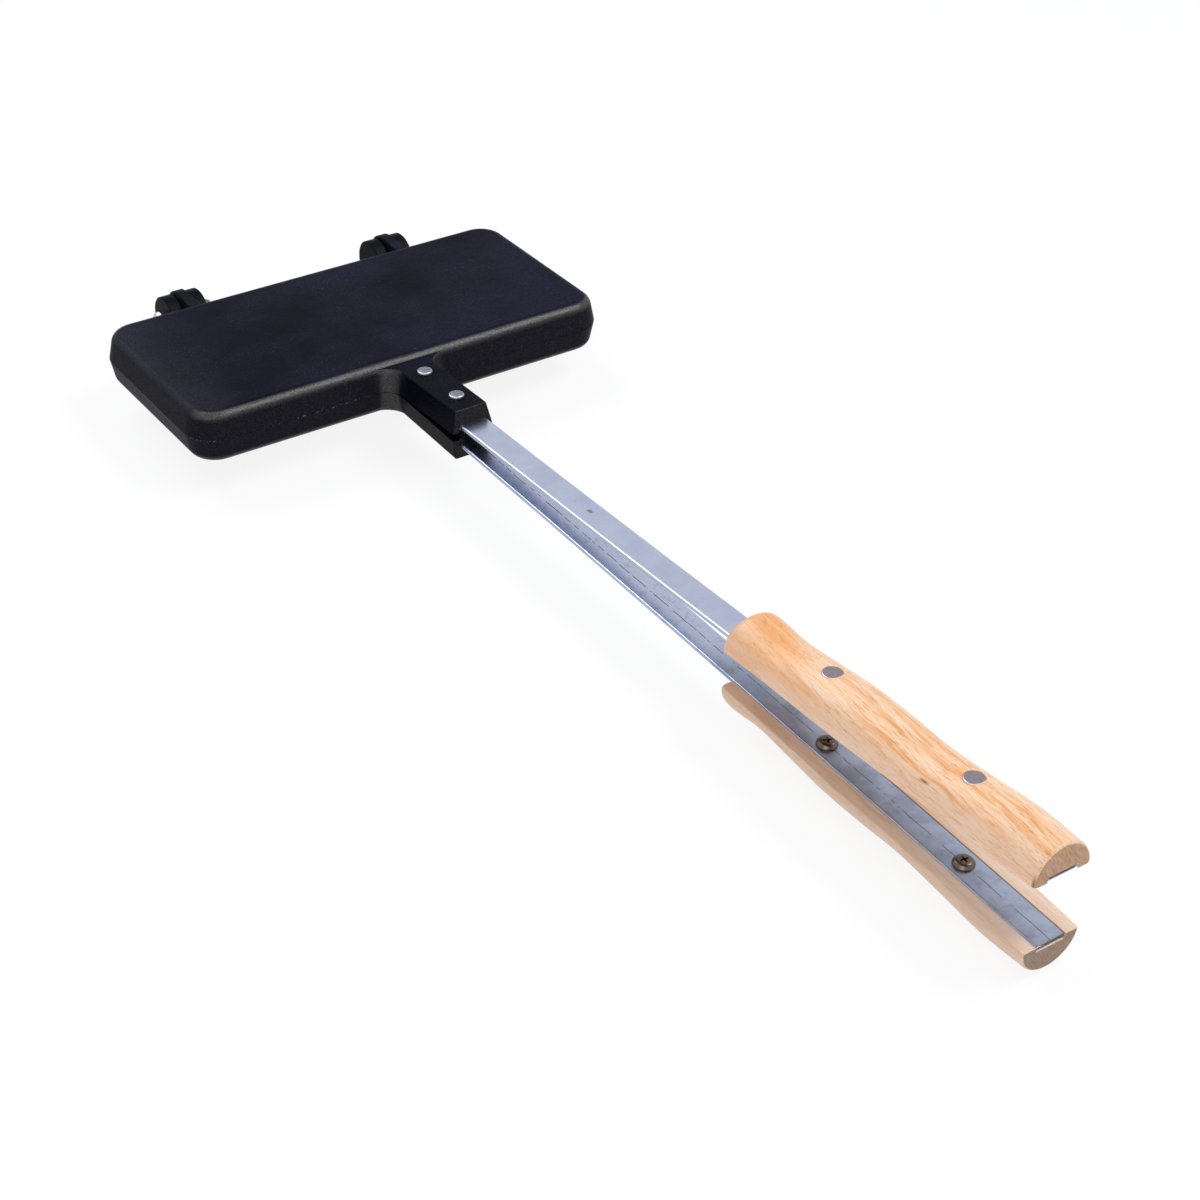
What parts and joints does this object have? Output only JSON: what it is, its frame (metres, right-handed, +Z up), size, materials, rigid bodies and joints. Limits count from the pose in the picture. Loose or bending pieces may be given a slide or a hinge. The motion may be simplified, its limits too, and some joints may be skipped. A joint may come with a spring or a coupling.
{
  "type": "pie iron",
  "caption": "Closed hinged double pie iron: two cast pans with sandwich cavities, back hinges, long flat steel handle bars and half-round wooden grips",
  "frame": {"origin": "centre of the flat underside of the lower pan", "axes": "+Z up from the underside through both pans, +Y from the handles towards the hinges, +X along the long side of the head"},
  "size_m": [0.25, 0.6411, 0.0653],
  "materials": {
    "cast_iron": "black seasoned cast surface, fine grain, satin",
    "bar_steel": "bright zinc-plated tube, lightly scuffed",
    "grip_wood": "light hardwood, clear lacquer, satin",
    "rivet_steel": "bright domed rivet head",
    "sleeve_steel": "dull zinc-plated disc",
    "screw_steel": "dark nickel, cross recess",
    "hinge_steel": "zinc-plated bolt and lock nut"
  },
  "bodies": {
    "lower": {"lower_pan": "cast_iron", "lower_bar": "bar_steel", "lower_rear_rivet": "rivet_steel", "lower_front_rivet": "rivet_steel", "lower_grip": "grip_wood", "lower_grip_rear_sleeve": "sleeve_steel", "lower_grip_front_sleeve": "sleeve_steel", "lower_grip_rear_screw": "screw_steel", "lower_grip_front_screw": "screw_steel", "left_hinge_bolt": "hinge_steel", "left_hinge_nut": "hinge_steel", "right_hinge_bolt": "hinge_steel"},
    "upper": {"upper_pan": "cast_iron", "upper_bar": "bar_steel", "upper_rear_rivet": "rivet_steel", "upper_front_rivet": "rivet_steel", "upper_grip": "grip_wood", "upper_grip_rear_sleeve": "sleeve_steel", "upper_grip_front_sleeve": "sleeve_steel", "upper_grip_rear_screw": "screw_steel", "upper_grip_front_screw": "screw_steel"}
  },
  "joints": [
    {"name": "lid_hinge", "type": "hinge", "parent": "lower", "child": "upper", "pos_m": [0, 0.0745, 0.01465], "axis": [-1, 0, 0], "range_deg": [0, 180]}
  ]
}
